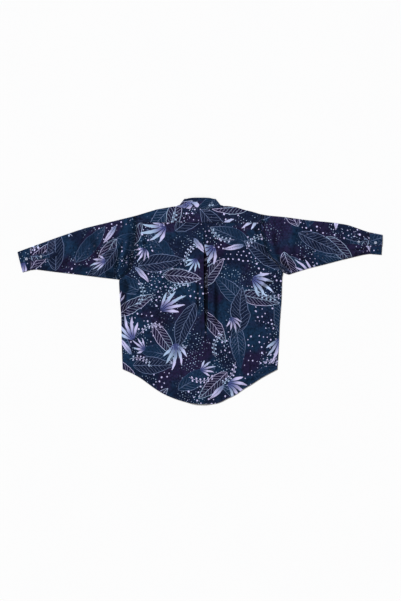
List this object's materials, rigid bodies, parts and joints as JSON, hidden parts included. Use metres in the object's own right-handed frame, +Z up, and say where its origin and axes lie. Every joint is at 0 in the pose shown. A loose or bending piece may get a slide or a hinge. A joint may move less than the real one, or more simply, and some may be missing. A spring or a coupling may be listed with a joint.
{
  "type": "long-sleeve shirt, laid flat with its back side up",
  "caption": "Long-sleeve button shirt laid flat, back side up, with a box pleat, yoke, collar, cuffs and a curved tail.",
  "frame": {"origin": "on the surface the shirt lies on, below the middle of its outline", "axes": "+X along the wearer's right sleeve, +Y towards the collar, +Z up out of the surface, towards the viewer of the back"},
  "size_m": [1.57, 0.8877, 0.0116],
  "materials": {
    "printed_cotton": "dark printed cotton poplin, fine plain weave, soft dull sheen",
    "button": "pale grey-blue pearly button"
  },
  "bodies": {
    "root": {"back": "printed_cotton", "yoke": "printed_cotton", "front_left": "printed_cotton", "front_right": "printed_cotton", "sleeve_left": "printed_cotton", "sleeve_right": "printed_cotton", "cuff_left": "printed_cotton", "cuff_right": "printed_cotton", "placket_left": "printed_cotton", "placket_right": "printed_cotton", "collar_stand": "printed_cotton", "collar": "printed_cotton", "cuff_button_left": "button", "cuff_button_right": "button", "placket_button_left": "button", "placket_button_right": "button", "front_button_0": "button", "front_button_1": "button", "front_button_2": "button", "front_button_3": "button", "front_button_4": "button", "front_button_5": "button", "front_button_6": "button", "front_button_7": "button"}
  },
  "joints": []
}
